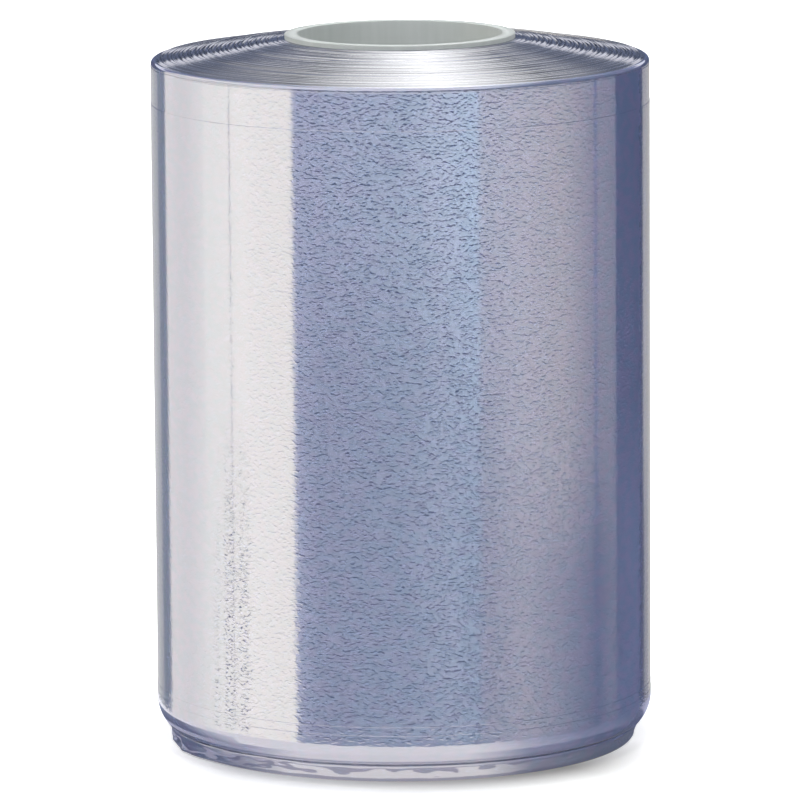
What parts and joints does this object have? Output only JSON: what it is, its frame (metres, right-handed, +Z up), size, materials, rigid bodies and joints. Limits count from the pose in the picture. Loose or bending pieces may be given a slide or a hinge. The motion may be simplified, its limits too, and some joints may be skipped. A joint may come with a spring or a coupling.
{
  "type": "roll of shrink film",
  "caption": "Glossy clear shrink film wound on an open plastic core tube, standing on end, with the edges of its turns showing as fine ridges on both ends.",
  "frame": {"origin": "on the roll's axis, at the surface that the roll stands on", "axes": "+Z up along the roll's axis, towards the end where the core stands proud of the outer turns"},
  "size_m": [0.186, 0.186, 0.2652],
  "materials": {
    "film": "glossy clear film, tinted blue grey by its many turns",
    "core": "satin grey green extruded plastic"
  },
  "bodies": {
    "root": {"film_roll": "film", "core_tube": "core"}
  },
  "joints": []
}
